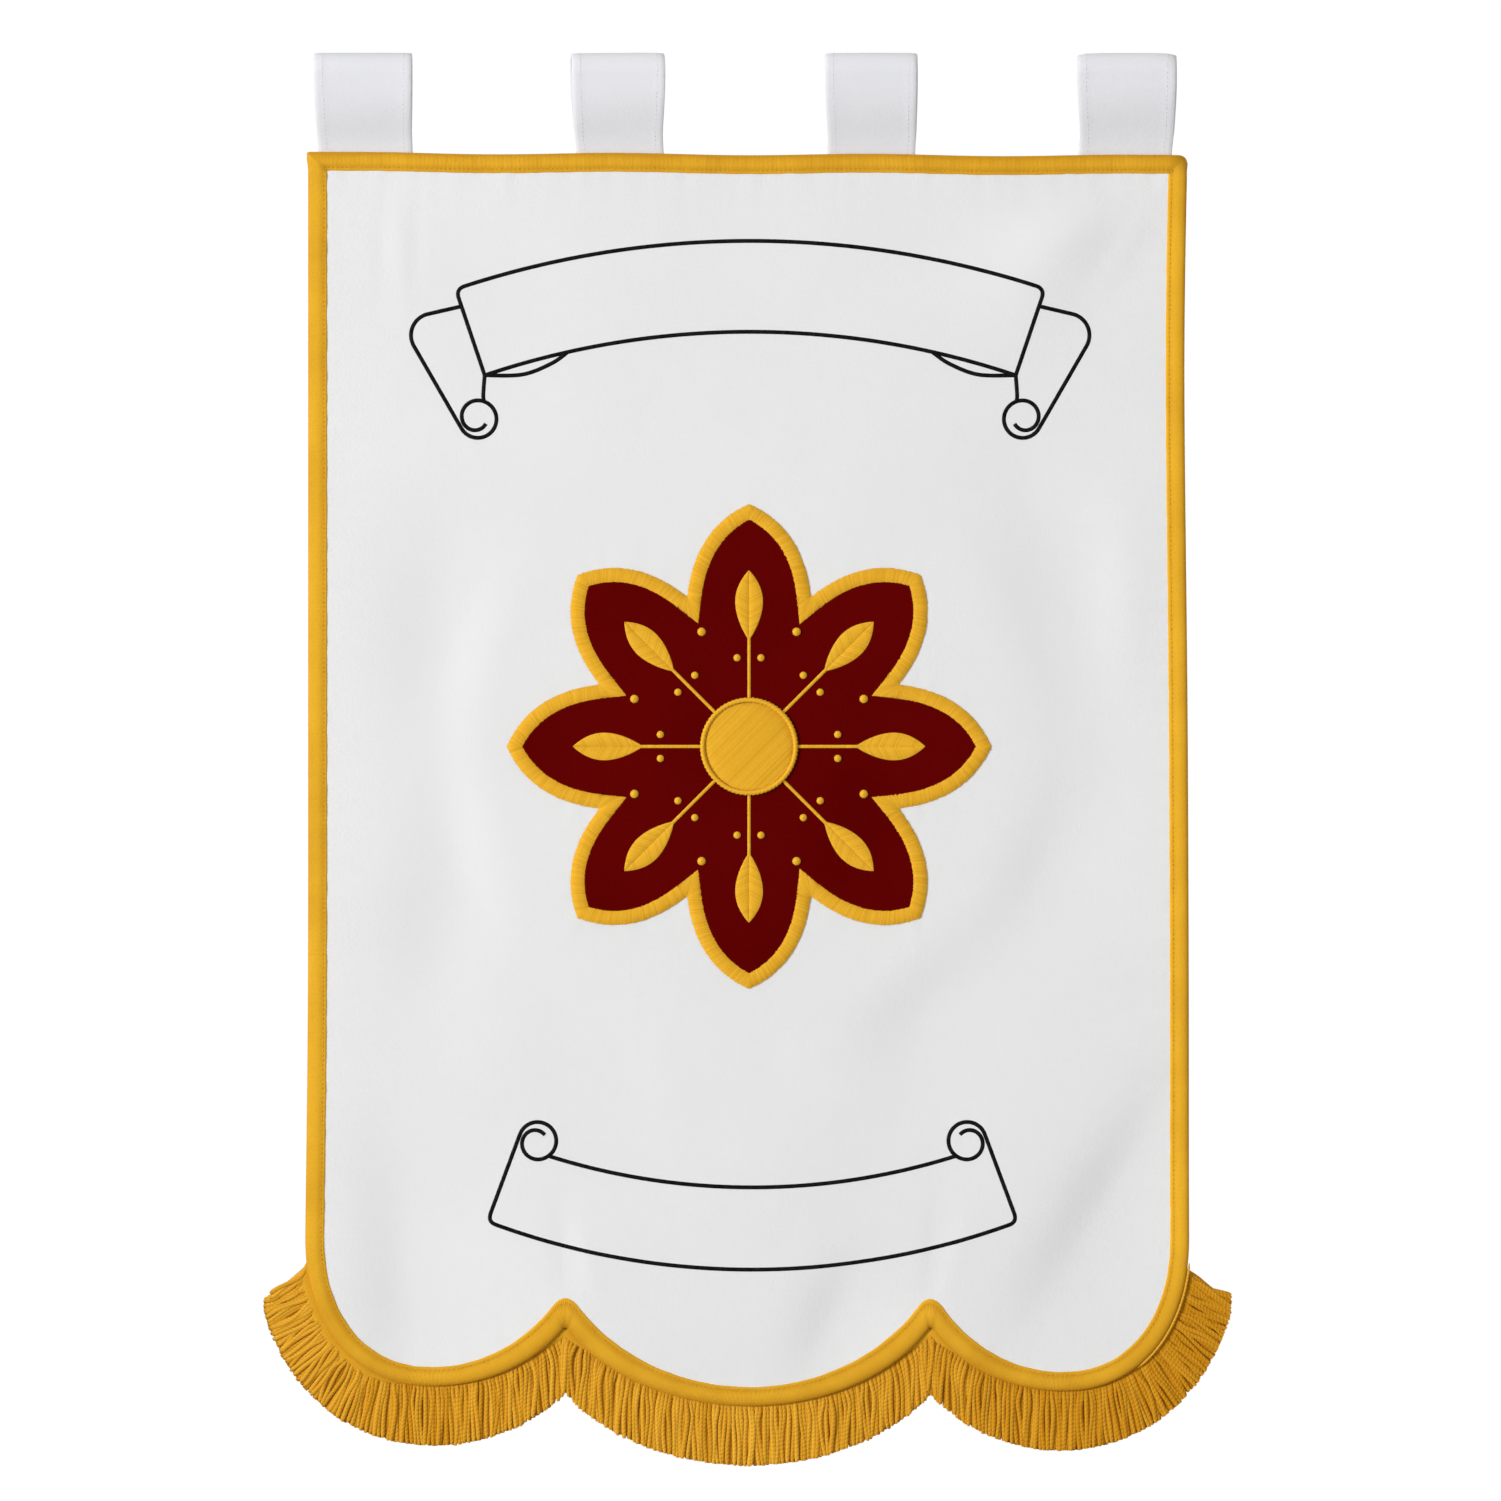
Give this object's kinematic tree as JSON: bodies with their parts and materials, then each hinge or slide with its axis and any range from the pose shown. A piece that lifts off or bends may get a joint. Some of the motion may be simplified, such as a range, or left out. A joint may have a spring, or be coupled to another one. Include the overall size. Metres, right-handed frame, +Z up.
{
  "type": "fraternal banner",
  "caption": "White cloth banner with gold bound edges, a scalloped hem with gold fringe, a dark red rosette and loops for a hanging rod.",
  "frame": {"origin": "on the axis of the hanging rod that the four tab loops go over, midway along the banner", "axes": "+Z up, +X to the right as seen from the front, the decorated front faces -Y"},
  "size_m": [0.6728, 0.0318, 0.9799],
  "materials": {
    "white_cloth": "closely woven matt white cloth",
    "gold_tape": "folded satin tape with a soft sheen",
    "gold_fringe": "twisted rayon cords",
    "gold_thread": "satin-stitched thread",
    "dark_red_cloth": "dark red cloth, matt"
  },
  "bodies": {
    "root": {"panel": "white_cloth", "binding_top": "gold_tape", "binding_hem": "gold_tape", "fringe": "gold_fringe", "tab_1": "white_cloth", "tab_2": "white_cloth", "tab_3": "white_cloth", "tab_4": "white_cloth", "rosette_border": "gold_thread", "rosette_ground": "dark_red_cloth", "rosette_centre": "gold_thread"}
  },
  "joints": []
}
